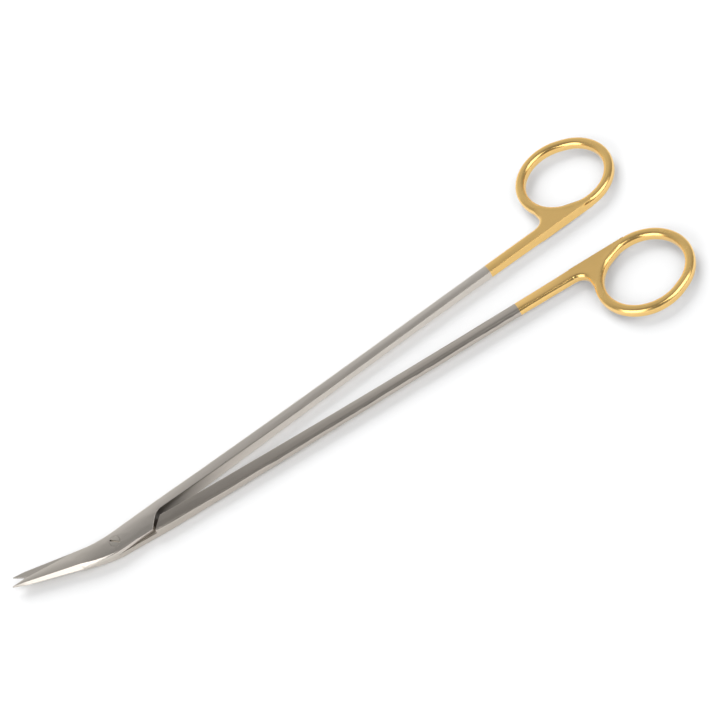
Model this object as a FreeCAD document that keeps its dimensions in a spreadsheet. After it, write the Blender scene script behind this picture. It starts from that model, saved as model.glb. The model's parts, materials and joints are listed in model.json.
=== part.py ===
import FreeCAD, Part
import math
import os
import Sketcher
from FreeCAD import Placement, Rotation, Vector

# Surgical scissors with blades angled to one side and a flush screw joint.
# The frame has the pivot axis as Z and the middle line of the handles as +X.
# The blades point to -X and lean to +Y. The scissors lie on Z = 0.
# Every half is drawn as it lies when the scissors are closed, with its middle
# plane at Z = 0. Its placement then lifts it and turns it to the open position.

doc = FreeCAD.newDocument("SurgicalScissors")
sheet = doc.addObject("Spreadsheet::Sheet", "Sizes")

SIZES = (
    # Joint: two cheeks, one above the other, and the shoulder behind each.
    ("cheek_height", 2.2),
    ("mating_gap", 0.05),
    ("joint_far_side", 3.7),
    ("joint_near_side", 2.8),
    ("joint_crest_side", 1.2),
    ("joint_crown_radius", 9.3),
    ("joint_free_rounding", 0.6),
    ("joint_shank_rounding", 1.0),
    ("shoulder_reach", 12.8),
    ("shoulder_fillet", 3.2),
    ("shoulder_gap", 0.5),
    ("shoulder_land", 0.2),
    ("half_opening", 2.87),
    # Blades: the two backs of the closed pair at the tip, the point and the heel,
    # how far each cutting edge laps past the other blade's back, the heights at
    # the back and at the seat of the insert, and how far the back slants inwards.
    ("tip_reach", 28.3),
    ("tip_side", 9.3),
    ("tip_width", 0.2),
    ("tip_height", 0.4),
    ("point_reach", 24.8),
    ("point_near_side", 7.0),
    ("point_far_side", 8.95),
    ("point_edge_lap", 0.5),
    ("point_height", 0.9),
    ("point_seat_height", 0.75),
    ("point_back_slant", 0.5),
    ("heel_reach", 10.5),
    ("heel_near_side", 0.15),
    ("heel_far_side", 5.75),
    ("heel_edge_lap", 1.0),
    ("heel_height", 1.6),
    ("heel_seat_height", 1.0),
    ("heel_back_slant", 0.95),
    ("blade_crown", 26.0),
    ("edge_land", 0.06),
    ("insert_width", 0.6),
    # Shanks: flat inner side, crowned top and underside, rounded outer side. The
    # crest of a crown lies midway, but at the joint it keeps the joint's own line.
    ("root_inner_side", 0.25),
    ("root_outer_side", 3.7),
    ("root_near_side", 3.4),
    ("root_rounding", 0.8),
    ("neck_reach", 38.0),
    ("neck_inner_side", 0.4),
    ("neck_outer_side", 3.8),
    ("neck_height", 1.6),
    ("neck_crown_radius", 8.0),
    ("neck_under_crest", 0.6),
    ("neck_rounding", 1.0),
    ("waist_reach", 66.0),
    ("waist_inner_side", 0.55),
    ("waist_outer_side", 4.0),
    ("waist_height", 1.33),
    ("waist_crown_radius", 5.5),
    ("shank_rounding", 1.15),
    ("shank_inner_rounding", 0.35),
    ("shank_end_rounding", 0.2),
    ("shank_end_reach", 133.2),
    ("shank_end_inner_side", 0.9),
    ("shank_end_outer_side", 4.1),
    ("shank_end_height", 1.4),
    ("shank_end_crown_radius", 40.0),
    # Finger rings and the flat webs that carry them.
    ("ring_radius", 11.3),
    ("ring_stretch", 1.4),
    ("ring_angle", 27.0),
    ("ring_tube_width", 2.6),
    ("ring_tube_height", 2.9),
    ("ring_tube_rounding", 1.1),
    ("web_hollow", 2.9),
    ("web_rim_width", 2.4),
    ("ring_stand_out", 0.42),
    # Pivot screw: head sunk flush in the upper half, thread in the lower half.
    ("screw_diameter", 1.9),
    ("head_overhang", 0.4),
    ("head_height", 1.0),
    ("running_clearance", 0.05),
    ("slot_width", 0.45),
    ("slot_depth", 0.4),
    ("slot_angle", 43.0),
)

# The shoulder stands at 45 degrees, so its fillet meets each side this share
# of its radius away from the corner.
FILLET_TANGENT = math.tan(math.radians(45 / 2))
DIAGONAL = math.sqrt(2)

# The cheek turns into the blade through this many steps, slowly at first. The
# turns are those of its free corner, its crown and its other corner at the pivot.
BEND_STEPS = 3
BEND_CURVE = 1.6
CHEEK_TURNS = (67, 33, 80)

# The two corners of a cheek are all but straight where they reach the blade.
HEEL_TURN = 3

# A rounding takes at most this share of the wall it lies on.
ROUND_LIMIT = 0.9

# Cuts run this many cheek heights, so that they pass right through.
THROUGH = 3

# The plate of the web ends inside the ring, at these angles round its middle.
WEB_ANGLES = (225, 197)


class Size:
    """A length with its number and the sheet formula that gives it."""

    def __init__(self, number, formula):
        self.number = number
        self.formula = formula

    def __add__(self, other):
        other = as_size(other)
        return Size(self.number + other.number, f"({self.formula} + {other.formula})")

    def __sub__(self, other):
        other = as_size(other)
        return Size(self.number - other.number, f"({self.formula} - {other.formula})")

    def __mul__(self, other):
        other = as_size(other)
        return Size(self.number * other.number, f"({self.formula} * {other.formula})")

    def __truediv__(self, other):
        other = as_size(other)
        return Size(self.number / other.number, f"({self.formula} / {other.formula})")

    def __neg__(self):
        return Size(-self.number, f"(0 - {self.formula})")

    __radd__ = __add__
    __rmul__ = __mul__


def as_size(value):
    """Wrap a plain number, so that it can be mixed with sizes."""
    if isinstance(value, Size):
        return value
    return Size(float(value), f"({float(value)})")


def sine(angle):
    return Size(math.sin(math.radians(angle.number)), f"sin({angle.formula} * 1 deg)")


def cosine(angle):
    return Size(math.cos(math.radians(angle.number)), f"cos({angle.formula} * 1 deg)")


def root_of(value):
    return Size(math.sqrt(value.number), f"sqrt({value.formula})")


def smaller(one, other):
    """The smaller of two lengths."""
    one, other = as_size(one), as_size(other)
    return Size(min(one.number, other.number), f"min({one.formula}; {other.formula})")


def fill_sheet():
    """Write the driving sizes to the sheet, one named cell each."""
    for row, (name, number) in enumerate(SIZES, start=1):
        cell = f"B{row}"
        sheet.set(f"A{row}", name)
        sheet.set(cell, str(number))
        sheet.setAlias(cell, name)
    doc.recompute()


def size(name):
    return Size(float(sheet.get(name)), f"Sizes.{name}")


def origin_plane(body, role):
    return next(item for item in body.Origin.OriginFeatures if item.Role == role)


def new_body(name):
    body = doc.addObject("PartDesign::Body", name)
    body.Label = name
    return body


def bind(item, path, value):
    item.setExpression(path, as_size(value).formula)


def pin(sketch, kind, edge, end, value):
    """Hold one coordinate of a point of a sketch at a size."""
    index = sketch.addConstraint(Sketcher.Constraint(kind, edge, end, value.number))
    bind(sketch, f"Constraints[{index}]", value)


def add_edge(sketch, start, stop, centre):
    """Draw a line, or an arc about centre, and return its start and end marks."""
    first = Vector(start[0].number, start[1].number, 0)
    last = Vector(stop[0].number, stop[1].number, 0)
    if centre is None:
        return sketch.addGeometry(Part.LineSegment(first, last), False), 1, 2
    middle = Vector(centre[0].number, centre[1].number, 0)
    from_angle = math.atan2(first.y - middle.y, first.x - middle.x)
    to_angle = math.atan2(last.y - middle.y, last.x - middle.x)
    circle = Part.Circle(middle, Vector(0, 0, 1), (first - middle).Length)
    turn = (to_angle - from_angle) % (2 * math.pi)
    if turn <= math.pi + 1e-9:
        arc = Part.ArcOfCircle(circle, from_angle, from_angle + turn)
        return sketch.addGeometry(arc, False), 1, 2
    arc = Part.ArcOfCircle(circle, to_angle, to_angle + 2 * math.pi - turn)
    return sketch.addGeometry(arc, False), 2, 1


def add_outline(sketch, points):
    """Draw a closed outline. A point (u, v, centre) starts an arc about its centre."""
    points = [tuple(as_size(part) for part in point[:2]) + point[2:] for point in points]
    edges = []
    for index, start in enumerate(points):
        stop = points[(index + 1) % len(points)]
        centre = tuple(as_size(part) for part in start[2]) if len(start) > 2 else None
        edges.append(add_edge(sketch, start, stop, centre) + (centre,))
    for index, (edge, head, tail, centre) in enumerate(edges):
        start = points[index]
        stop = points[(index + 1) % len(points)]
        following = edges[(index + 1) % len(points)]
        pin(sketch, "DistanceX", edge, head, start[0])
        pin(sketch, "DistanceY", edge, head, start[1])
        sketch.addConstraint(Sketcher.Constraint("Coincident", edge, tail, following[0], following[1]))
        if centre is None:
            continue
        if abs(stop[1].number - start[1].number) >= abs(stop[0].number - start[0].number):
            pin(sketch, "DistanceX", edge, 3, centre[0])
        else:
            pin(sketch, "DistanceY", edge, 3, centre[1])


def draw(body, name, role, points, lift=0):
    """Sketch an outline on one of the body's own planes, lifted off it."""
    sketch = body.newObject("Sketcher::SketchObject", name)
    sketch.AttachmentSupport = [(origin_plane(body, role), "")]
    sketch.MapMode = "FlatFace"
    bind(sketch, "AttachmentOffset.Base.z", lift)
    add_outline(sketch, points)
    return sketch


def loft(body, name, sections, ruled):
    """Join sections across X. Each section is a reach and its outline in Y and Z."""
    sketches = [
        draw(body, f"{name}_{index}", "YZ_Plane", outline, lift=reach)
        for index, (reach, outline) in enumerate(sections)
    ]
    doc.recompute()
    feature = body.newObject("PartDesign::AdditiveLoft", name)
    feature.Profile = sketches[0]
    feature.Sections = sketches[1:]
    feature.Ruled = ruled
    doc.recompute()


def plate(body, name, outline, thickness):
    """Flat plate about the middle plane of the body."""
    feature = body.newObject("PartDesign::Pad", name)
    feature.Profile = draw(body, f"{name}_outline", "XY_Plane", outline)
    bind(feature, "Length", thickness)
    feature.Midplane = True
    doc.recompute()


def pocket(body, name, outline, depth, lift=0, middle=False, reverse=False, role="XY_Plane"):
    """Cut an outline out of the body, and make sure that it met material."""
    before = body.Shape.Volume
    feature = body.newObject("PartDesign::Pocket", name)
    feature.Profile = draw(body, f"{name}_outline", role, outline, lift=lift)
    bind(feature, "Length", depth)
    feature.Midplane = middle
    feature.Reversed = reverse
    doc.recompute()
    if body.Shape.Volume >= before:
        raise RuntimeError(f"{name} cuts nothing")


def circle(radius):
    """Outline of a circle about the pivot axis, as two half turns."""
    centre = (0, 0)
    return [(radius, 0, centre), (-radius, 0, centre)]


def crown_centre(start, stop, turn):
    """Centre of the arc that goes clockwise from start to stop through a turn."""
    start, stop = [tuple(as_size(part) for part in point) for point in (start, stop)]
    half = as_size(turn) / 2
    share = cosine(half) / sine(half) / 2
    middle = ((start[0] + stop[0]) / 2, (start[1] + stop[1]) / 2)
    return middle[0] + (stop[1] - start[1]) * share, middle[1] - (stop[0] - start[0]) * share


def crown_level(crown, across):
    """Height of a crown at a place across it. A crown is its crest, radius and height."""
    crest, radius, height = crown
    offset = across - crest
    return height - radius + root_of(radius * radius - offset * offset)


def crowned_corner(wall, rounding, side, crown):
    """Rounded corner between a wall and a crown: its end on each, and its centre."""
    crest, radius, height = crown
    offset = wall - rounding * side - crest
    inner = radius - rounding
    rise = root_of(inner * inner - offset * offset)
    share = radius / inner
    low = height - radius
    return (wall, low + rise), (crest + offset * share, low + rise * share), (crest + offset, low + rise)


def crown_arch(crown):
    """Centre of the arc that a crown follows."""
    crest, radius, height = crown
    return crest, height - radius


def turned_half(points, upper):
    """An outline of the upper half, or the same turned half round about X."""
    way = 1 if upper else -1
    return [
        (point[0] * way, point[1] * way)
        + tuple((centre[0] * way, centre[1] * way) for centre in point[2:])
        for point in points
    ]


def mirrored(point):
    """A point of an outline on the other side of the middle plane."""
    return (point[0], -point[1]) + tuple((centre[0], -centre[1]) for centre in point[2:])


def blade_sides(upper):
    """Reach, back and edge of a blade at the heel, the point and the tip."""
    sides = []
    for place_name in ("heel", "point"):
        reach = -size(f"{place_name}_reach")
        near, far = size(f"{place_name}_near_side"), size(f"{place_name}_far_side")
        lap = size(f"{place_name}_edge_lap")
        sides.append((reach, near, far + lap) if upper else (reach, -far, lap - near))
    half_tip = size("tip_width") / 2
    near, far = size("tip_side") - half_tip, size("tip_side") + half_tip
    sides.append((-size("tip_reach"), near, far) if upper else (-size("tip_reach"), -far, -near))
    return sides


def blade_stations(upper):
    """Reach, back, slant of the back, seat, edge, back height and seat height."""
    insert = size("insert_width")
    stations = []
    for place_name, (reach, back, edge) in zip(("heel", "point"), blade_sides(upper)):
        slant = size(f"{place_name}_back_slant")
        heights = (size(f"{place_name}_height"), size(f"{place_name}_seat_height"))
        stations.append((reach, back, slant, edge - insert, edge) + heights)
    reach, back, edge = blade_sides(upper)[2]
    middle = (back + edge) / 2
    height = size("tip_height")
    stations.append((reach, back, (middle - back) / 2, middle, edge, height, height))
    return stations


def make_blade(body, upper):
    """Blade with a crowned face and a slanted back, up to the seat of the hard edge."""
    floor = size("mating_gap") / 2
    sections = []
    for reach, back, slant, seat, edge, height, seat_height in blade_stations(upper):
        top, low = (back + slant, height), (seat, seat_height)
        centre = crown_centre(top, low, size("blade_crown"))
        outline = [(back, floor), top + (centre,), low, (seat, floor)]
        sections.append((reach, turned_half(outline, upper)))
    loft(body, "blade", sections, ruled=True)


def make_insert(upper):
    """Hard metal strip along the cutting edge, bevelled on its outer side."""
    body = new_body("upper_edge_insert" if upper else "lower_edge_insert")
    floor = size("mating_gap") / 2
    sections = []
    for reach, back, slant, seat, edge, height, seat_height in blade_stations(upper):
        outline = [(seat, floor), (seat, seat_height), (edge, size("edge_land")), (edge, floor)]
        sections.append((reach, turned_half(outline, upper)))
    loft(body, "strip", sections, ruled=True)
    place(body, upper)


def joint_crown(side=1):
    """Crown of the joint, seen from its upper side or, turned over, from below."""
    return size("joint_crest_side") * side, size("joint_crown_radius"), size("cheek_height")


def cheek_outline(free, shank_side):
    """Section of a cheek: flat mating face, crowned outer face, rounded corners."""
    floor = size("mating_gap") / 2
    crown = joint_crown()
    one = crowned_corner(free, size("joint_free_rounding"), -1, crown)
    other = crowned_corner(shank_side, size("joint_shank_rounding"), 1, crown)
    return [
        (free, floor),
        one[0] + (one[2],),
        one[1] + (crown_arch(crown),),
        other[1] + (other[2],),
        other[0],
        (shank_side, floor),
    ]


def cheek_sides(upper, near):
    """The free side of a cheek and the side that goes on as the shank."""
    far = size("joint_far_side")
    return (-near, far) if upper else (-far, near)


def make_bend(body, upper):
    """Cheek that turns from the pivot into the heel of the blade."""
    floor, land = size("mating_gap") / 2, size("edge_land")
    cheek = cheek_outline(*cheek_sides(upper, size("joint_near_side")))
    reach, back, slant, seat, edge, height, seat_height = blade_stations(upper)[0]
    heel = [
        (back, floor),
        (back, floor + land),
        (back + slant, height),
        (seat, seat_height),
        (edge, land),
        (edge, floor),
    ]
    sections = [(as_size(0), turned_half(cheek, upper))]
    for step in range(1, BEND_STEPS + 1):
        share = step / BEND_STEPS
        bend = share ** BEND_CURVE
        outline = [
            (start[0] + (stop[0] - start[0]) * bend, start[1] + (stop[1] - start[1]) * bend)
            for start, stop in zip(cheek, heel)
        ]
        for index, heel_turn in zip((1, 2, 3), (HEEL_TURN, size("blade_crown"), HEEL_TURN)):
            turn = as_size(CHEEK_TURNS[index - 1]) * (1 - share) + as_size(heel_turn) * share
            centre = crown_centre(outline[index], outline[index + 1][:2], turn)
            outline[index] = outline[index] + (centre,)
        sections.append((reach * share, turned_half(outline, upper)))
    loft(body, "bend", sections, ruled=False)


def root_reach():
    """Where the shoulder ends and the plain shank begins."""
    tangent = size("shoulder_fillet") * FILLET_TANGENT
    return size("shoulder_reach") + size("root_inner_side") + tangent + size("shoulder_land")


def make_cheek(body, upper):
    """Cheek behind the pivot, with the shoulder cut that faces the other half."""
    sections = [
        (reach, turned_half(cheek_outline(*cheek_sides(upper, near)), upper))
        for reach, near in (
            (as_size(0), size("joint_near_side")),
            (root_reach(), size("root_near_side")),
        )
    ]
    loft(body, "cheek", sections, ruled=True)

    way = 1 if upper else -1
    inner = size("root_inner_side")
    radius = size("shoulder_fillet")
    tangent = radius * FILLET_TANGENT
    slant = tangent / DIAGONAL
    corner = size("shoulder_reach") + inner
    clear = size("joint_near_side") + size("root_near_side")
    behind = root_reach() + clear
    cut = [
        (corner - slant, (inner - slant) * way, (corner + tangent, (inner - radius) * way)),
        (corner + tangent, inner * way),
        (behind, inner * way),
        (behind, -clear * way),
        (corner - inner - clear, -clear * way),
    ]
    pocket(body, "shoulder", cut, size("cheek_height") * THROUGH, middle=True)


def shank_outline(inner, outer, top, under, top_rounding, under_rounding, inner_rounding):
    """Section of a shank between two crowns, with four rounded corners."""
    limit = (outer - inner) / 2 * ROUND_LIMIT
    sides = []
    for crown, rounding in ((top, top_rounding), (under, under_rounding)):
        one = crowned_corner(inner, smaller(inner_rounding, limit), -1, crown)
        other = crowned_corner(outer, smaller(rounding, limit), 1, crown)
        sides.append((one, other, crown_arch(crown)))
    (one, other, arch), (under_one, under_other, under_arch) = sides
    return [
        one[0] + (one[2],),
        one[1] + (arch,),
        other[1] + (other[2],),
        other[0],
        mirrored(under_other[0] + (under_other[2],)),
        mirrored(under_other[1] + (under_arch,)),
        mirrored(under_one[1] + (under_one[2],)),
        mirrored(under_one[0]),
    ]


def make_root(body, upper):
    """Thick root of the shank, kept clear of the other half's shoulder."""
    way = 1 if upper else -1
    top = size("mating_gap") / 2
    inner = size("root_inner_side")
    reach = root_reach()
    crown = joint_crown(-1)
    end_outer = size("root_outer_side") if upper else size("root_near_side")
    front_outer = end_outer if upper else (size("joint_near_side") + end_outer) / 2
    sections = []
    for where, outer in ((reach / 2, front_outer), (reach, end_outer)):
        corner = crowned_corner(outer, size("root_rounding"), 1, crown)
        outline = [
            (inner, top),
            mirrored((inner, crown_level(crown, inner), crown_arch(crown))),
            mirrored(corner[1] + (corner[2],)),
            mirrored(corner[0]),
            (outer, top),
        ]
        sections.append((where, turned_half(outline, upper)))
    loft(body, "root", sections, ruled=True)

    wall = size("shoulder_reach") + size("shoulder_gap") * DIAGONAL
    side = size("joint_far_side") + size("root_outer_side")
    cut = [(wall, 0), (wall - side, side * way), (0, side * way), (0, 0)]
    depth = size("cheek_height") * THROUGH
    pocket(body, "wall", cut, depth, lift=top * way, reverse=not upper)


def make_shank(body, upper):
    """Slim shank from the joint to the web of the ring."""
    slim, small, large = size("shank_rounding"), size("shank_end_rounding"), size("shank_inner_rounding")
    inner = size("root_inner_side")
    outer = size("root_outer_side") if upper else size("root_near_side")
    roundings = (size("joint_shank_rounding"), size("root_rounding"), small)
    root = shank_outline(inner, outer, joint_crown(), joint_crown(-1), *roundings)
    sections = [(root_reach(), turned_half(root, upper))]
    neck = size("neck_rounding")
    for name, roundings in (
        ("neck", (neck, neck, large)),
        ("waist", (slim, slim, large)),
        ("shank_end", (slim, slim, small)),
    ):
        inner, outer = size(f"{name}_inner_side"), size(f"{name}_outer_side")
        middle = (inner + outer) / 2
        top = (middle, size(f"{name}_crown_radius"), size(f"{name}_height"))
        under = (size("neck_under_crest") if name == "neck" else middle,) + top[1:]
        outline = shank_outline(inner, outer, top, under, *roundings)
        sections.append((size(f"{name}_reach"), turned_half(outline, upper)))
    loft(body, "shank", sections, ruled=False)


def rounded_box(width, height, rounding, shift=0):
    """Outline of a bar section with four rounded corners, shifted sideways."""
    middle = as_size(shift)
    right, left = middle + width / 2, middle - width / 2
    top = height / 2
    rounding = smaller(rounding, smaller(width, height) / 2 * ROUND_LIMIT)
    right_centre, left_centre, high = right - rounding, left + rounding, top - rounding
    return [
        (right_centre, -top, (right_centre, -high)),
        (right, -high),
        (right, high, (right_centre, high)),
        (right_centre, top),
        (left_centre, top, (left_centre, high)),
        (left, high),
        (left, -high, (left_centre, -high)),
        (left_centre, -top),
    ]


def stand(body, name, outlines, where, turn):
    """Sketch upright outlines at a place in plan, on a plane turned about Z."""
    sketch = draw(body, name, "YZ_Plane", outlines[0], lift=where[0])
    for outline in outlines[1:]:
        add_outline(sketch, outline)
    turn = as_size(turn)
    sketch.AttachmentOffset = Placement(
        Vector(where[1].number, 0, where[0].number), Rotation(Vector(0, 1, 0), turn.number)
    )
    bind(sketch, "AttachmentOffset.Base.x", where[1])
    bind(sketch, "AttachmentOffset.Rotation.Angle", turn)
    doc.recompute()
    return sketch


def sweep(body, name, outline, where, turn, angle, reverse):
    """Turn an upright outline about the vertical line through a place in plan."""
    feature = body.newObject("PartDesign::Revolution", name)
    feature.Profile = stand(body, f"{name}_section", [outline], where, turn)
    feature.ReferenceAxis = (feature.Profile[0], ["V_Axis"])
    feature.Angle = angle
    feature.Reversed = reverse
    doc.recompute()


def run(body, name, outlines, where, turn, length, middle=False):
    """Push upright outlines along the direction that their plane faces."""
    feature = body.newObject("PartDesign::Pad", name)
    feature.Profile = stand(body, f"{name}_section", outlines, where, turn)
    bind(feature, "Length", length)
    feature.Midplane = middle
    doc.recompute()


def rim_bend_radius():
    """Radius that the middle of the web's rim follows round the hollow."""
    return size("web_hollow") + size("web_rim_width") / 2


def half_stretch():
    """Half the straight run of the ring, along the handle and across it."""
    half = size("ring_stretch") / 2
    angle = size("ring_angle")
    return half * cosine(angle), half * sine(angle)


def ring_middle():
    """Middle of a ring: its front is over the rim, its side stands out a little."""
    radius = size("ring_radius")
    reach = size("shank_end_reach") + rim_bend_radius() + radius
    underside = size("shank_end_inner_side") - size("ring_stand_out")
    return reach, underside + size("ring_tube_width") / 2 + radius + half_stretch()[1]


def make_web(body, upper):
    """Flat web between shank and ring, with a rounded rim in the hollow."""
    way = 1 if upper else -1
    reach = size("shank_end_reach")
    inner, outer = size("shank_end_inner_side"), size("shank_end_outer_side")
    thickness = size("shank_end_height") * 2
    rim = size("web_rim_width")
    bend = rim_bend_radius()
    centre_y = outer + size("web_hollow")
    ring_x, ring_y = ring_middle()
    radius = size("ring_radius")
    along, across = half_stretch()
    lowest_x, lowest_y = ring_x + along, ring_y - across - radius
    inside = [
        (ring_x + radius * cosine(as_size(angle)), ring_y + radius * sine(as_size(angle)))
        for angle in WEB_ANGLES
    ]
    outline = [
        (reach, inner * way),
        (lowest_x, inner * way),
        (lowest_x, lowest_y * way),
        (inside[0][0], inside[0][1] * way),
        (inside[1][0], inside[1][1] * way),
        (reach + bend, centre_y * way, (reach, centre_y * way)),
        (reach, (outer - rim / 2) * way),
    ]
    plate(body, "web", outline, thickness)
    section = rounded_box(rim, thickness, size("shank_rounding"), -bend * way)
    sweep(body, "rim_bend", section, (reach, centre_y * way), 0, 90, reverse=not upper)
    section = rounded_box(rim, thickness, size("shank_rounding"))
    length = inside[1][1] - centre_y
    run(body, "rim", [section], (reach + bend, centre_y * way), 90 * way, length)


def make_ring(body, upper):
    """Finger ring: a rounded bar bent into a slightly stretched circle."""
    way = 1 if upper else -1
    ring_x, ring_y = ring_middle()
    along, across = half_stretch()
    front = (ring_x - along, (ring_y + across) * way)
    rear = (ring_x + along, (ring_y - across) * way)
    radius = size("ring_radius")
    bar = (size("ring_tube_width"), size("ring_tube_height"), size("ring_tube_rounding"))
    sides = [rounded_box(*bar, shift) for shift in (radius, -radius)]
    turn = -size("ring_angle") * way
    middle = (ring_x, ring_y * way)
    run(body, "ring_sides", sides, middle, turn, size("ring_stretch"), middle=True)
    sweep(body, "ring_front", sides[0], front, turn, 180, reverse=False)
    sweep(body, "ring_rear", sides[0], rear, turn, 180, reverse=True)


def drill(body, upper):
    """Screw hole: clear with a sunk seat in the upper half, close in the lower."""
    height = size("cheek_height")
    depth = height * THROUGH
    shaft = size("screw_diameter") / 2
    clearance = size("running_clearance")
    if not upper:
        pocket(body, "thread_hole", circle(shaft), depth, middle=True)
        return
    pocket(body, "shaft_hole", circle(shaft + clearance), depth, middle=True)
    seat = circle(shaft + size("head_overhang") + clearance)
    head = size("head_height")
    pocket(body, "head_seat", seat, head * 2 + clearance, lift=height + head)


def place(body, upper):
    """Lift a half to the rest plane and open it about the pivot axis."""
    way = 1 if upper else -1
    body.Placement = Placement(
        Vector(0, 0, size("cheek_height").number),
        Rotation(Vector(0, 0, 1), way * size("half_opening").number),
    )
    bind(body, "Placement.Base.z", size("cheek_height"))
    bind(body, "Placement.Rotation.Angle", size("half_opening") * way)


def make_half(upper):
    body = new_body("upper_half" if upper else "lower_half")
    make_bend(body, upper)
    make_blade(body, upper)
    make_cheek(body, upper)
    make_root(body, upper)
    make_shank(body, upper)
    make_ring(body, upper)
    make_web(body, upper)
    drill(body, upper)
    place(body, upper)


def make_screw():
    """Slotted screw. Its head is ground level with the crown of the upper cheek."""
    body = new_body("pivot_screw")
    height = size("cheek_height")
    shaft = size("screw_diameter") / 2
    head = shaft + size("head_overhang")
    neck = height - size("head_height")
    profile = [(0, -height), (shaft, -height), (shaft, neck), (head, neck), (head, height), (0, height)]
    turned = body.newObject("PartDesign::Revolution", "turned")
    turned.Profile = draw(body, "turned_outline", "XZ_Plane", profile)
    turned.ReferenceAxis = (turned.Profile[0], ["V_Axis"])
    turned.Angle = 360.0
    doc.recompute()

    crown = joint_crown()
    clear = head * 2
    above = [
        (-clear, crown_level(crown, -clear), crown_arch(crown)),
        (clear, crown_level(crown, clear)),
        (clear, height + head),
        (-clear, height + head),
    ]
    pocket(body, "crown", above, head * THROUGH, middle=True, role="YZ_Plane")

    angle = size("slot_angle")
    half_width = size("slot_width") / 2
    along = (clear * cosine(angle), -clear * sine(angle))
    across = (half_width * sine(angle), half_width * cosine(angle))
    slot = [
        (along[0] + across[0], along[1] + across[1]),
        (across[0] - along[0], across[1] - along[1]),
        (-along[0] - across[0], -along[1] - across[1]),
        (along[0] - across[0], along[1] - across[1]),
    ]
    top = crown_level(crown, as_size(0))
    pocket(body, "slot", slot, size("slot_depth") + head, lift=top + head)
    place(body, False)


def check_and_export():
    """Stop on any failed object, then write one file for each sub-part."""
    for item in doc.Objects:
        if "Invalid" in item.State or "Error" in item.State:
            raise RuntimeError(f"{item.Label} failed: {item.State}")
    bodies = [item for item in doc.Objects if item.TypeId == "PartDesign::Body"]
    for body in bodies:
        if body.Shape.isNull() or not body.Shape.isValid():
            raise RuntimeError(f"{body.Label} has no valid shape")
    os.makedirs("parts", exist_ok=True)
    for body in bodies:
        body.Shape.exportStep(f"parts/{body.Label}.step")
        print(body.Label, len(body.Shape.Solids), round(body.Shape.Volume, 3))


fill_sheet()
make_half(upper=True)
make_half(upper=False)
make_insert(upper=True)
make_insert(upper=False)
make_screw()
doc.recompute()
check_and_export()
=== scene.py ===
import json
import math

import bpy
from mathutils import Matrix, Vector

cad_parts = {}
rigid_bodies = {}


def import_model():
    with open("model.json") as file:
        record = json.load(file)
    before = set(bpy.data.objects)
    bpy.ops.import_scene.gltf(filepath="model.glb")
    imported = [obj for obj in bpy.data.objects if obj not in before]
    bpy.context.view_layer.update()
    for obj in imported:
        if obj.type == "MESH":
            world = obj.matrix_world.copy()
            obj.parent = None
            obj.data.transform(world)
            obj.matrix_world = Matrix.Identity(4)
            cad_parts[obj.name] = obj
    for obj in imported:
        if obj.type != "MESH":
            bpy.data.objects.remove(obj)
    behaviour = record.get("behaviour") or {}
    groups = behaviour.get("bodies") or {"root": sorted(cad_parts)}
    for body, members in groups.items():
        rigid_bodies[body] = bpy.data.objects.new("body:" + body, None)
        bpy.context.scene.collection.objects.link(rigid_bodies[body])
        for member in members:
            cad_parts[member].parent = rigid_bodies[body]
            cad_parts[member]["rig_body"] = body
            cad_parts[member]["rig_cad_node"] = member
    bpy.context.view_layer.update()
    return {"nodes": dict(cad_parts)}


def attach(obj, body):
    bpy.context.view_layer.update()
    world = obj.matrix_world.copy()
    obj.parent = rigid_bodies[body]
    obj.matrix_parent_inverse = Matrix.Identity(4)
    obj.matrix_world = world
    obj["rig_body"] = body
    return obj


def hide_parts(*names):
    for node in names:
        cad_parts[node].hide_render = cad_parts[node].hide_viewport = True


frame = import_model()


# Lower half.
# One forged bar of stainless steel: blade, joint cheek, slim shank, flat web and
# finger ring. It is ground satin, then gilt and polished from the end of the shank on.

weld_distance = 0.000002
flat_angle = math.radians(0.2)
corner_angle = math.radians(42)
corner_width = 0.00009


def ready_mesh(node, name):
    """Copy a node and weld its loose facets."""
    bpy.ops.object.select_all(action="DESELECT")
    source = frame["nodes"][node]
    source.select_set(True)
    bpy.context.view_layer.objects.active = source
    bpy.ops.object.duplicate()
    piece = bpy.context.view_layer.objects.active
    piece.name = name
    piece.parent = None
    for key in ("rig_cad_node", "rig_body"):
        if key in piece:
            del piece[key]
    bpy.ops.mesh.customdata_custom_splitnormals_clear()
    bpy.ops.object.mode_set(mode="EDIT")
    bpy.ops.mesh.select_all(action="SELECT")
    bpy.ops.mesh.remove_doubles(threshold=weld_distance)
    bpy.ops.mesh.dissolve_limited(angle_limit=flat_angle)
    bpy.ops.object.mode_set(mode="OBJECT")
    return piece


def soften(piece):
    """Round every corner of a welded piece a little and shade the rest smooth."""
    bpy.ops.object.modifier_add(type="BEVEL")
    bevel = piece.modifiers[-1]
    bevel.width = corner_width
    bevel.segments = 2
    bevel.limit_method = "ANGLE"
    bevel.angle_limit = corner_angle
    bpy.ops.object.modifier_apply(modifier=bevel.name)
    bpy.ops.object.shade_smooth_by_angle(angle=corner_angle)
    bpy.ops.object.modifier_add(type="WEIGHTED_NORMAL")
    weighted = piece.modifiers[-1]
    weighted.keep_sharp = True
    weighted.mode = "FACE_AREA_WITH_ANGLE"
    bpy.ops.object.modifier_apply(modifier=weighted.name)


def feed(links, value, socket):
    """Link a node's result to a socket, or set a plain value on it."""
    if isinstance(value, bpy.types.NodeSocket):
        links.new(value, socket)
    else:
        socket.default_value = value


def work_out(nodes, links, operation, first, second=0.0):
    """Do one step of arithmetic with numbers or nodes' results."""
    step = nodes.new("ShaderNodeMath")
    step.operation = operation
    feed(links, first, step.inputs[0])
    feed(links, second, step.inputs[1])
    return step.outputs["Value"]


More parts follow.
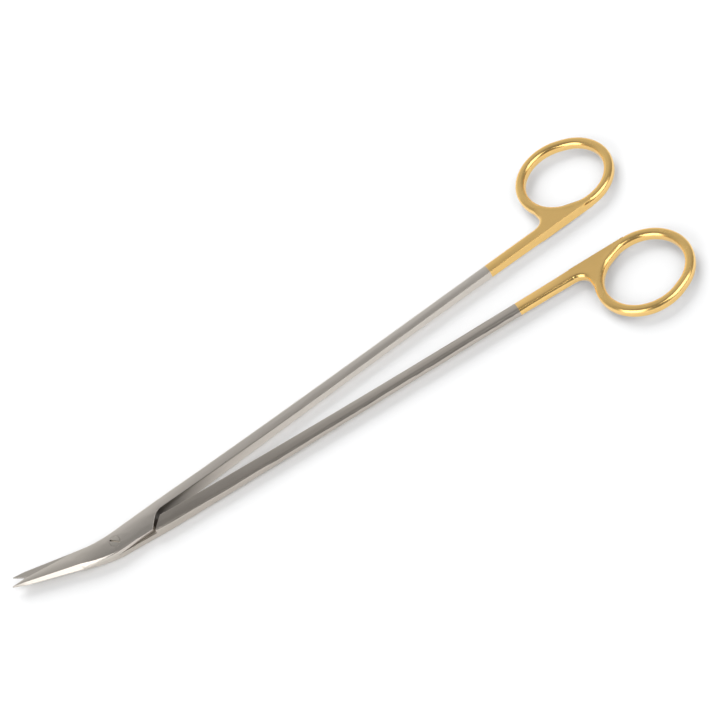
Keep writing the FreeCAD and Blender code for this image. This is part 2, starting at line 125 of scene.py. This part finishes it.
def measure(nodes, links, operation, vector, other):
    """Give the distance of a vector from a fixed one, or their dot product."""
    ruler = nodes.new("ShaderNodeVectorMath")
    ruler.operation = operation
    links.new(vector, ruler.inputs[0])
    ruler.inputs[1].default_value = other
    return ruler.outputs["Value"]


def between(nodes, links, value, span):
    """Pass smoothly from 0 at the first end of a span to 1 at its second end."""
    ramp = nodes.new("ShaderNodeMapRange")
    ramp.interpolation_type = "SMOOTHSTEP"
    ramp.inputs["From Min"].default_value = span[0]
    ramp.inputs["From Max"].default_value = span[1]
    links.new(value, ramp.inputs["Value"])
    return ramp.outputs["Result"]


def blend(nodes, links, mask, low, high, kind="FLOAT"):
    """Pass from low to high, two numbers or two colours, as a mask goes from 0 to 1."""
    mixer = nodes.new("ShaderNodeMix")
    mixer.data_type = kind
    low_input, high_input, result = (2, 3, 0) if kind == "FLOAT" else (6, 7, 2)
    links.new(mask, mixer.inputs[0])
    feed(links, low, mixer.inputs[low_input])
    feed(links, high, mixer.inputs[high_input])
    return mixer.outputs[result]


def shade_colour(nodes, links, colour, tone):
    """Make a colour darker or brighter by a tone, where 1 leaves it as it is."""
    shaded = nodes.new("ShaderNodeVectorMath")
    shaded.operation = "SCALE"
    feed(links, colour, shaded.inputs[0])
    links.new(tone, shaded.inputs["Scale"])
    return shaded.outputs["Vector"]


def grain_group():
    """Fine grinding marks along X: a shade, a roughness and a height."""
    group = bpy.data.node_groups.new("grinding_marks", "ShaderNodeTree")
    for name, kind in (("Vector", "Vector"), ("Depth", "Float"), ("Roughness", "Float")):
        group.interface.new_socket(name=name, in_out="INPUT", socket_type="NodeSocket" + kind)
    for name in ("Shade", "Roughness", "Height"):
        group.interface.new_socket(name=name, in_out="OUTPUT", socket_type="NodeSocketFloat")
    nodes, links = group.nodes, group.links
    given = nodes.new("NodeGroupInput")
    result = nodes.new("NodeGroupOutput")

    # The marks are about 2 mm long and 0.15 mm wide.
    stretch = nodes.new("ShaderNodeMapping")
    stretch.inputs["Scale"].default_value = (500, 7000, 7000)
    links.new(given.outputs["Vector"], stretch.inputs["Vector"])
    marks = nodes.new("ShaderNodeTexNoise")
    marks.inputs["Scale"].default_value = 1.0
    marks.inputs["Detail"].default_value = 3.0
    links.new(stretch.outputs["Vector"], marks.inputs["Vector"])

    # Wider patches, about 5 mm across, lie under them.
    patches = nodes.new("ShaderNodeTexNoise")
    patches.inputs["Scale"].default_value = 220.0
    patches.inputs["Detail"].default_value = 2.0
    links.new(given.outputs["Vector"], patches.inputs["Vector"])

    # Less their mean, the two leave a colour as bright on the whole as it is given.
    patch_share = 0.45
    mean = 0.72
    both = nodes.new("ShaderNodeMath")
    both.operation = "MULTIPLY_ADD"
    both.inputs[1].default_value = patch_share
    links.new(patches.outputs["Fac"], both.inputs[0])
    links.new(marks.outputs["Fac"], both.inputs[2])
    centred = work_out(nodes, links, "SUBTRACT", both.outputs["Value"], mean)
    deep = work_out(nodes, links, "MULTIPLY", centred, given.outputs["Depth"])
    shade = work_out(nodes, links, "ADD", deep, 1.0)
    rough = work_out(nodes, links, "ADD", given.outputs["Roughness"], deep)
    links.new(shade, result.inputs["Shade"])
    links.new(rough, result.inputs["Roughness"])
    links.new(marks.outputs["Fac"], result.inputs["Height"])
    return group


grinding_marks = grain_group()


def add_marks(nodes, links, vector, depth, roughness):
    """Place the grinding marks in a material, with its own depth and roughness."""
    marks = nodes.new("ShaderNodeGroup")
    marks.node_tree = grinding_marks
    links.new(vector, marks.inputs["Vector"])
    marks.inputs["Depth"].default_value = depth
    feed(links, roughness, marks.inputs["Roughness"])
    return marks


punch_mark = (-0.00092, 0.00100, 0.00430)
punch_rim = (0.00016, 0.00030)
punch_tone = 0.12


def punched(nodes, links, vector, tone):
    """Darken a tone at the punch mark that keeps the screw from turning."""
    reach = measure(nodes, links, "DISTANCE", vector, punch_mark)
    clear = blend(nodes, links, between(nodes, links, reach, punch_rim), punch_tone, 1.0)
    return work_out(nodes, links, "MULTIPLY", tone, clear)


# Each half is drawn along X and turned by half_opening. Each pair of lengths from the
# pivot, or from the middle of the ring, says where a change of finish begins and ends.
half_opening = math.radians(2.87)
blade_root = (-0.006, 0.004)
gap_start = (0.006, 0.009)
gap_end = (0.036, 0.013)
gap_side = (-0.0028, -0.0023)
shoulder_end = (0.0150, 0.0130)
gilt_start = (0.11722, 0.11738)
ring_middle = (0.1486, 0.0134)
ring_bar = (0.0108, 0.0114)
web_end = (0.0079, 0.0085)

# How squarely a face looks up or down, sideways or into the gap, from 0 to 1.
level_face = (0.90, 0.97)
side_face = (0.88, 0.98)
gap_face = (0.55, 0.8)
gap_direction = (0.30, -0.95)

# Painted shade: the lower half's steel is darker than the upper half's, though both are one steel.
lower_steel_painted_shade = (0.495, 0.452, 0.405, 1)
blade_colour = (0.585, 0.542, 0.488, 1)
gilt_colour = (0.975, 0.645, 0.235, 1)
# Painted light makes the sides of the halves this much brighter.
side_painted_light = 1.12
# Painted shade in the gap behind the joint, deeper at the shoulder.
gap_painted_shade = 0.44
shoulder_painted_shade = 0.24

# Roughness of round and of level steel, then of polished and of satin gilding.
steel_roughness = (0.30, 0.36)
gilt_roughness = (0.25, 0.32)
mark_depth = 0.10
relief_strength = 0.15
relief_height = 0.00001
corner_shading = 0.00016


def half_material(name, side, steel_colour):
    """Steel, gilt from the end of the shank on; side is 1 for the upper half, else -1."""
    material = bpy.data.materials.new(name)
    material.use_nodes = True
    nodes, links = material.node_tree.nodes, material.node_tree.links
    shader = nodes["Principled BSDF"]
    shader.inputs["Metallic"].default_value = 1.0

    place = nodes.new("ShaderNodeTexCoord")
    along = nodes.new("ShaderNodeMapping")
    along.inputs["Rotation"].default_value = (0, 0, -half_opening * side)
    links.new(place.outputs["Object"], along.inputs["Vector"])
    apart = nodes.new("ShaderNodeSeparateXYZ")
    links.new(along.outputs["Vector"], apart.inputs["Vector"])
    facing = nodes.new("ShaderNodeSeparateXYZ")
    links.new(place.outputs["Normal"], facing.inputs["Vector"])
    gilt = between(nodes, links, apart.outputs["X"], gilt_start)
    level = work_out(nodes, links, "ABSOLUTE", facing.outputs["Z"])
    level = between(nodes, links, level, level_face)
    side_on = work_out(nodes, links, "ABSOLUTE", facing.outputs["Y"])
    side_on = between(nodes, links, side_on, side_face)

    # Level faces are satin up to a slanting line across the web. The ring is polished.
    flat = nodes.new("ShaderNodeCombineXYZ")
    links.new(apart.outputs["X"], flat.inputs["X"])
    links.new(apart.outputs["Y"], flat.inputs["Y"])
    middle = (ring_middle[0], ring_middle[1] * side, 0)
    from_ring = measure(nodes, links, "DISTANCE", flat.outputs["Vector"], middle)
    outside = between(nodes, links, from_ring, ring_bar)
    diagonal = 0.70711
    down_web = (-diagonal, -diagonal * side, 0)
    slant = measure(nodes, links, "DOT_PRODUCT", flat.outputs["Vector"], down_web)
    ring_slant = -(ring_middle[0] + ring_middle[1]) * diagonal
    before = between(nodes, links, slant, (ring_slant + web_end[0], ring_slant + web_end[1]))
    satin = work_out(nodes, links, "MULTIPLY", outside, before)
    satin = work_out(nodes, links, "MULTIPLY", level, satin)

    steel_rough = blend(nodes, links, level, *steel_roughness)
    gilt_rough = blend(nodes, links, satin, *gilt_roughness)
    rough = blend(nodes, links, gilt, steel_rough, gilt_rough)
    marks = add_marks(nodes, links, along.outputs["Vector"], mark_depth, rough)
    links.new(marks.outputs["Roughness"], shader.inputs["Roughness"])

    # Painted shade darkens the narrow gap behind the joint, most of all at the shoulder.
    into_gap = (gap_direction[0], gap_direction[1] * side, 0)
    looking_in = measure(nodes, links, "DOT_PRODUCT", place.outputs["Normal"], into_gap)
    hidden = between(nodes, links, looking_in, gap_face)
    for value, span in (
        (apart.outputs["X"], gap_start),
        (apart.outputs["X"], gap_end),
        (apart.outputs["Y"], (gap_side[0] * side, gap_side[1] * side)),
    ):
        hidden = work_out(nodes, links, "MULTIPLY", hidden, between(nodes, links, value, span))
    shoulder = between(nodes, links, apart.outputs["X"], shoulder_end)
    dark = blend(nodes, links, shoulder, gap_painted_shade, shoulder_painted_shade)
    gap_shade_painted = blend(nodes, links, hidden, 1.0, dark)
    tone = work_out(nodes, links, "MULTIPLY", marks.outputs["Shade"], gap_shade_painted)
    tone = punched(nodes, links, place.outputs["Object"], tone)

    # The blade has a shade of its own, and painted light makes the sides brighter.
    root = between(nodes, links, apart.outputs["X"], blade_root)
    steel = blend(nodes, links, root, blade_colour, steel_colour, "RGBA")
    steel = shade_colour(nodes, links, steel, blend(nodes, links, side_on, 1.0, side_painted_light))

    # The white sheet takes no warm tint from the gilding, as in the photo.
    path = nodes.new("ShaderNodeLightPath")
    warm = blend(nodes, links, path.outputs["Is Diffuse Ray"], gilt, 0.0)
    colour = blend(nodes, links, warm, steel, gilt_colour, "RGBA")
    links.new(shade_colour(nodes, links, colour, tone), shader.inputs["Base Color"])

    # Satin faces carry the marks as a faint relief, and corners shade a little rounder.
    height = work_out(nodes, links, "MULTIPLY", marks.outputs["Height"], satin)
    bump = nodes.new("ShaderNodeBump")
    bump.inputs["Strength"].default_value = relief_strength
    bump.inputs["Distance"].default_value = relief_height
    links.new(height, bump.inputs["Height"])
    rounded = nodes.new("ShaderNodeBevel")
    rounded.samples = 6
    rounded.inputs["Radius"].default_value = corner_shading
    links.new(rounded.outputs["Normal"], bump.inputs["Normal"])
    links.new(bump.outputs["Normal"], shader.inputs["Normal"])
    return material


lower_half = ready_mesh("lower_half", "lower_half_finished")
soften(lower_half)
lower_half.data.materials.clear()
lower_half.data.materials.append(half_material("steel_and_gilt_lower", -1, lower_steel_painted_shade))
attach(lower_half, "lower")
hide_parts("lower_half")


# Upper half.
# The same forging turned over. Its cheek lies on top at the joint and holds the
# sunk head of the screw. Its steel is lighter than the lower half's: painted light on one steel.

upper_steel_painted_light = (0.65, 0.603, 0.550, 1)
upper_half = ready_mesh("upper_half", "upper_half_finished")
soften(upper_half)
upper_half.data.materials.clear()
upper_half.data.materials.append(half_material("steel_and_gilt_upper", 1, upper_steel_painted_light))
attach(upper_half, "upper")
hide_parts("upper_half")


# Edge inserts.
# Strips of hard sintered metal brazed along both cutting edges, ground to a
# bright bevel that is finer than the steel round it.

insert_colour, insert_mark_depth, insert_roughness = (0.66, 0.625, 0.58), 0.08, 0.26


def ground_metal(name, colour, depth, roughness, marked):
    """One metal with the grinding marks, and with the punch mark where that is asked for."""
    material = bpy.data.materials.new(name)
    material.use_nodes = True
    nodes, links = material.node_tree.nodes, material.node_tree.links
    shader = nodes["Principled BSDF"]
    shader.inputs["Metallic"].default_value = 1.0
    place = nodes.new("ShaderNodeTexCoord")
    marks = add_marks(nodes, links, place.outputs["Object"], depth, roughness)
    links.new(marks.outputs["Roughness"], shader.inputs["Roughness"])
    tone = marks.outputs["Shade"]
    if marked:
        tone = punched(nodes, links, place.outputs["Object"], tone)
    links.new(shade_colour(nodes, links, colour, tone), shader.inputs["Base Color"])
    return material


hard_metal = ground_metal(
    "hard_metal", insert_colour, insert_mark_depth, insert_roughness, marked=False
)
for node in ("lower_edge_insert", "upper_edge_insert"):
    strip = frame["nodes"][node]
    strip.data.materials.clear()
    strip.data.materials.append(hard_metal)


# Pivot screw.
# A slotted steel screw, driven home, ground flush with the upper cheek and kept from
# turning by a punch mark at its rim.

screw_colour, screw_roughness = (0.64, 0.60, 0.54), 0.33
screw_steel = ground_metal("screw_steel", screw_colour, mark_depth, screw_roughness, marked=True)
screw = frame["nodes"]["pivot_screw"]
screw.data.materials.clear()
screw.data.materials.append(screw_steel)


# Table top.
# The plain white sheet that the scissors lie on. It is matt and holds the soft shadow
# that the lamp at the back throws forward. The metal mirrors it whiter than it is lit.

sheet_colour = (0.90, 0.903, 0.907, 1)
sheet_drop = 0.00002
mirrored_white = 0.35

bpy.ops.object.select_all(action="DESELECT")
bpy.ops.mesh.primitive_plane_add(size=6, location=(0.08, 0, -sheet_drop))
table_top = bpy.context.view_layer.objects.active
table_top.name = "table_top"
white_sheet = bpy.data.materials.new("white_sheet")
white_sheet.use_nodes = True
nodes, links = white_sheet.node_tree.nodes, white_sheet.node_tree.links
nodes.clear()
sheet_out = nodes.new("ShaderNodeOutputMaterial")
sheet_matt = nodes.new("ShaderNodeBsdfDiffuse")
sheet_matt.inputs["Color"].default_value = sheet_colour
sheet_glow = nodes.new("ShaderNodeEmission")
sheet_glow.inputs["Strength"].default_value = 1.0
path = nodes.new("ShaderNodeLightPath")
mirrored = work_out(
    nodes, links, "MAXIMUM", path.outputs["Is Glossy Ray"], path.outputs["Is Transmission Ray"]
)
sheet_mix = nodes.new("ShaderNodeMixShader")
links.new(work_out(nodes, links, "MULTIPLY", mirrored, mirrored_white), sheet_mix.inputs[0])
links.new(sheet_matt.outputs["BSDF"], sheet_mix.inputs[1])
links.new(sheet_glow.outputs["Emission"], sheet_mix.inputs[2])
links.new(sheet_mix.outputs["Shader"], sheet_out.inputs["Surface"])
table_top.data.materials.append(white_sheet)


# Studio.
# A pale room, brighter at the back, with a large soft lamp on each side of the camera
# and one at the back that lights the table top and doesn't show in the metal.

room_greys = ((0.5, 0.25), (0.84, 0.58))
front_grey, back_grey = 0.15, 0.95

scene = bpy.context.scene
world = bpy.data.worlds.new("studio_room")
scene.world = world
world.use_nodes = True
nodes, links = world.node_tree.nodes, world.node_tree.links
nodes.clear()
room_out = nodes.new("ShaderNodeOutputWorld")
room = nodes.new("ShaderNodeBackground")
toward = nodes.new("ShaderNodeTexCoord")
apart = nodes.new("ShaderNodeSeparateXYZ")
links.new(toward.outputs["Generated"], apart.inputs["Vector"])
depth = nodes.new("ShaderNodeMapRange")
depth.inputs["From Min"].default_value = -1.0
depth.inputs["From Max"].default_value = 1.0
links.new(apart.outputs["Y"], depth.inputs["Value"])
walls = nodes.new("ShaderNodeValToRGB")
walls.color_ramp.elements[0].color = (front_grey, front_grey, front_grey, 1)
walls.color_ramp.elements[1].color = (back_grey, back_grey, back_grey, 1)
for position, grey in room_greys:
    walls.color_ramp.elements.new(position).color = (grey, grey, grey, 1)
links.new(depth.outputs["Result"], walls.inputs["Fac"])
path = nodes.new("ShaderNodeLightPath")
white = blend(nodes, links, path.outputs["Is Camera Ray"], walls.outputs["Color"], (1, 1, 1, 1), "RGBA")
links.new(white, room.inputs["Color"])
links.new(room.outputs["Background"], room_out.inputs["Surface"])

# Each lamp stands a metre from the scissors. Its row gives its bearing and height in
# degrees, its width and length in metres, its power and whether the metal mirrors it.
subject = Vector((0.0770, 0.0072, 0.0022))
for name, bearing, height, width, length, power, mirrored in (
    ("left_lamp", -122, 27, 0.80, 1.00, 6.6, True),
    ("right_lamp", 132, 40, 0.75, 0.90, 4.7, True),
    ("rear_lamp", 6, 37, 0.70, 0.85, 7.4, False),
):
    bpy.ops.object.select_all(action="DESELECT")
    turn, rise = math.radians(bearing), math.radians(height)
    away = Vector((math.sin(turn) * math.cos(rise), math.cos(turn) * math.cos(rise), math.sin(rise)))
    bpy.ops.object.light_add(type="AREA", location=subject + away)
    lamp = bpy.context.view_layer.objects.active
    lamp.name = name
    lamp.data.shape = "RECTANGLE"
    lamp.data.size = width
    lamp.data.size_y = length
    lamp.data.energy = power
    lamp.rotation_euler = away.to_track_quat("Z", "Y").to_euler()
    lamp.visible_glossy = mirrored


# Camera.
# A long lens looking down on the scissors from the front, turned about its own
# axis so that the handles rise to the right.

elevation, heading, roll = math.radians(48), math.radians(-1.85), math.radians(32.16)
camera_distance = 0.63497
frame_pixels, focal_pixels, sensor_width = 720, 2484.3, 36

turned = Matrix.Rotation(heading, 3, "Z") @ Matrix.Rotation(math.pi / 2 - elevation, 3, "X")
turned = turned @ Matrix.Rotation(-roll, 3, "Z")
bpy.ops.object.select_all(action="DESELECT")
bpy.ops.object.camera_add(location=subject + turned @ Vector((0, 0, camera_distance)))
camera = bpy.context.view_layer.objects.active
camera.name = "camera"
camera.rotation_euler = turned.to_euler()
camera.data.sensor_width = sensor_width
camera.data.lens = focal_pixels / frame_pixels * sensor_width
camera.data.clip_start = 0.01
camera.data.clip_end = 20
scene.camera = camera
scene.view_settings.view_transform = "Standard"
